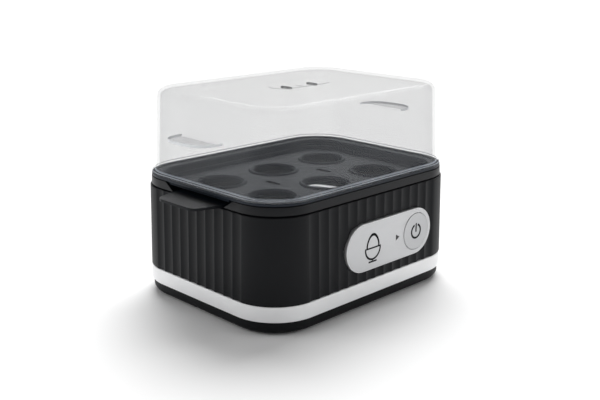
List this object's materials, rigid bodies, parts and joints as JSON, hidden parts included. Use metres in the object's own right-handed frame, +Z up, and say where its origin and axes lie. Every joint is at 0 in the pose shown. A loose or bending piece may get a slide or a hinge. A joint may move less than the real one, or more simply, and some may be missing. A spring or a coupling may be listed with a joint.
{
  "type": "egg cooker",
  "caption": "Electric egg cooker with a ribbed rectangular body, a lift-out egg tray with end handles and a clear domed lid.",
  "frame": {"origin": "centre of the footprint, on the surface the feet stand on", "axes": "+X along the length towards the end nearest the power button, -Y out of the control panel, +Z up"},
  "size_m": [0.2264, 0.1518, 0.147],
  "materials": {
    "shell_black": "fine matt mould texture",
    "base_black": "fine matt mould texture",
    "collar_black": "satin, smoother than the ribbed shell",
    "band_silver": "fine brushed, lengthwise",
    "panel_silver": "satin silver lacquer",
    "button_silver": "satin silver lacquer",
    "print_dark": "printed ink",
    "lens_smoke": "smoked clear plastic",
    "holder_black": "moulded",
    "tray_slate": "satin",
    "lid_clear": "clear, slightly grey",
    "rubber": "matt",
    "zinc": "zinc plated",
    "plate_steel": "stainless, circular brushing",
    "element_sheath": "heat-stained sheath",
    "strap_steel": "galvanised sheet",
    "seal_red": "silicone",
    "ceramic": "unglazed ceramic",
    "fuse_metal": "drawn",
    "sleeve_glass": "woven glass-fibre sleeve",
    "brass": "stamped",
    "led_diffuse": "diffused resin",
    "switch_green": "moulded",
    "switch_black": "moulded",
    "board_green": "solder mask",
    "nylon": "moulded nylon",
    "gland_black": "moulded nylon",
    "wire_brown": "insulation",
    "wire_white": "silicone insulation",
    "wire_blue": "insulation",
    "wire_earth": "insulation"
  },
  "bodies": {
    "body": {"base_pan": "base_black", "rubber_feet": "rubber", "base_screws": "zinc", "trim_band": "band_silver", "ribbed_shell": "shell_black", "collar_tub": "collar_black", "plate_seal": "seal_red", "heating_plate": "plate_steel", "heating_element": "element_sheath", "element_terminals": "brass", "plate_strap": "strap_steel", "strap_screws": "zinc", "thermostat": "ceramic", "thermal_fuse": "fuse_metal", "fuse_sleeve": "sleeve_glass", "control_panel": "panel_silver", "panel_holder": "holder_black", "egg_mark": "print_dark", "indicator_lens": "lens_smoke", "indicator_led": "led_diffuse", "switch_body": "switch_black", "circuit_board": "board_green", "board_screws": "zinc", "buzzer": "switch_black", "terminal_block": "nylon", "cord_gland": "gland_black", "gland_nut": "gland_black", "cord_clamp": "gland_black", "clamp_screws": "zinc", "live_wire": "wire_brown", "switched_wire": "wire_brown", "link_wire": "wire_white", "fuse_wire": "wire_white", "neutral_wire": "wire_blue", "earth_wire": "wire_earth"},
    "egg_tray": {"egg_tray": "tray_slate"},
    "lid": {"lid": "lid_clear"},
    "power_button": {"power_button": "button_silver", "power_symbol": "print_dark"},
    "switch_plunger": {"switch_plunger": "switch_green"}
  },
  "joints": [
    {"name": "tray_lift", "type": "slide", "parent": "body", "child": "egg_tray", "axis": [0, 0, 1], "range_m": [0, 0.09]},
    {"name": "lid_lift", "type": "slide", "parent": "egg_tray", "child": "lid", "axis": [0, 0, 1], "range_m": [0, 0.11]},
    {"name": "button_press", "type": "slide", "parent": "body", "child": "power_button", "axis": [0, 1, 0], "range_m": [0, 0.0012], "stiffness_N_per_m": 900},
    {"name": "plunger_press", "type": "slide", "parent": "body", "child": "switch_plunger", "axis": [0, 1, 0], "range_m": [0, 0.0012]}
  ],
  "couplings": [
    {"joint": "plunger_press", "follows": "button_press", "ratio": 1}
  ]
}
